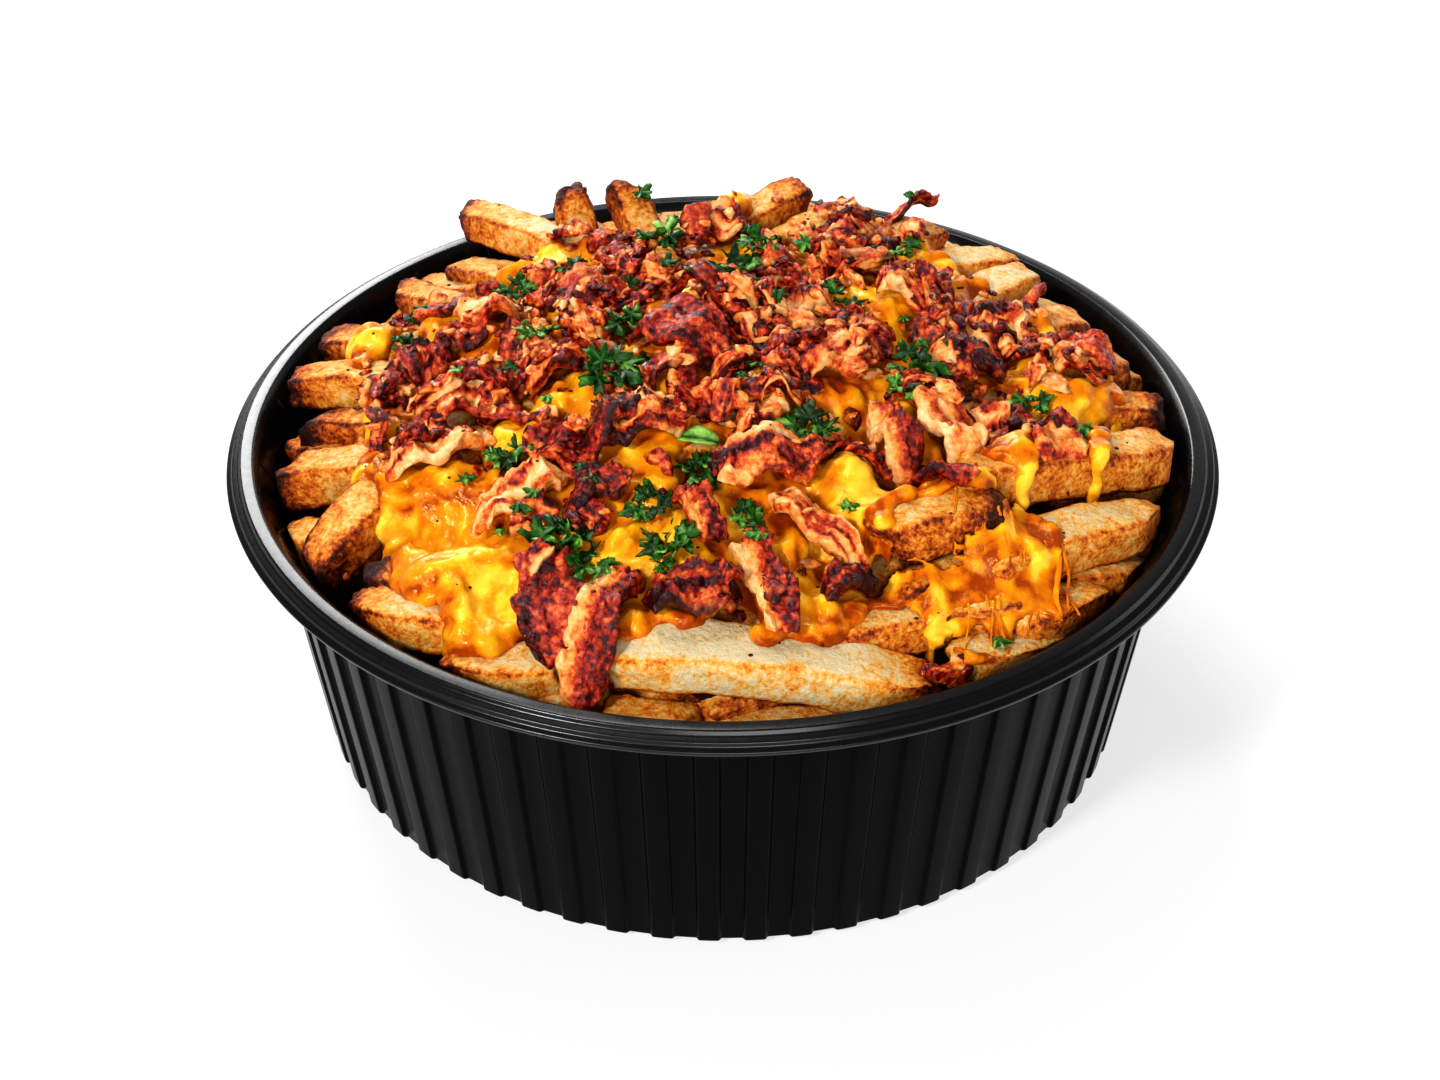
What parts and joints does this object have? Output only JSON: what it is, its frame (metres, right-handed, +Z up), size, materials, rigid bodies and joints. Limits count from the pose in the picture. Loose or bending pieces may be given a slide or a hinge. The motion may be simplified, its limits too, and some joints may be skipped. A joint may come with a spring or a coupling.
{
  "type": "cheese fries in a bowl",
  "caption": "Heap of potato fries under melted cheese, bacon pieces and chopped parsley, in a round ribbed black plastic takeaway bowl.",
  "frame": {"origin": "centre of the foot ring of the bowl, on the surface that it stands on", "axes": "+Z up out of the bowl; the side of the bowl that the picture shows faces -Y, and +X is to the right there"},
  "size_m": [0.185, 0.185, 0.0921],
  "materials": {
    "bowl_plastic": "moulded black polypropylene, satin wall and smoother rim",
    "potato": "deep-fried potato, golden with browned ends",
    "cheese_sauce": "melted yellow cheese, wet and glossy",
    "bacon": "fried streaky bacon, red-brown lean with pale fat, greasy",
    "parsley": "fresh chopped parsley, deep green"
  },
  "bodies": {
    "root": {"bowl": "bowl_plastic", "fries": "potato", "cheese": "cheese_sauce", "bacon_01": "bacon", "bacon_02": "bacon", "bacon_03": "bacon", "bacon_04": "bacon", "bacon_05": "bacon", "bacon_06": "bacon", "bacon_07": "bacon", "bacon_08": "bacon", "bacon_09": "bacon", "bacon_10": "bacon", "bacon_11": "bacon", "bacon_12": "bacon", "bacon_13": "bacon", "bacon_14": "bacon", "bacon_15": "bacon", "bacon_16": "bacon", "bacon_17": "bacon", "bacon_18": "bacon", "bacon_19": "bacon", "bacon_20": "bacon", "bacon_21": "bacon", "bacon_22": "bacon", "bacon_23": "bacon", "bacon_24": "bacon", "bacon_25": "bacon", "bacon_26": "bacon", "bacon_27": "bacon", "bacon_28": "bacon", "bacon_29": "bacon", "bacon_30": "bacon", "bacon_31": "bacon", "bacon_32": "bacon", "bacon_33": "bacon", "parsley_01": "parsley", "parsley_02": "parsley", "parsley_03": "parsley", "parsley_04": "parsley", "parsley_05": "parsley", "parsley_06": "parsley", "parsley_07": "parsley", "parsley_08": "parsley", "parsley_09": "parsley", "parsley_10": "parsley", "parsley_11": "parsley", "parsley_12": "parsley", "parsley_13": "parsley", "parsley_14": "parsley", "parsley_15": "parsley", "parsley_16": "parsley", "parsley_17": "parsley", "parsley_18": "parsley", "parsley_19": "parsley", "parsley_20": "parsley", "parsley_21": "parsley"}
  },
  "joints": []
}
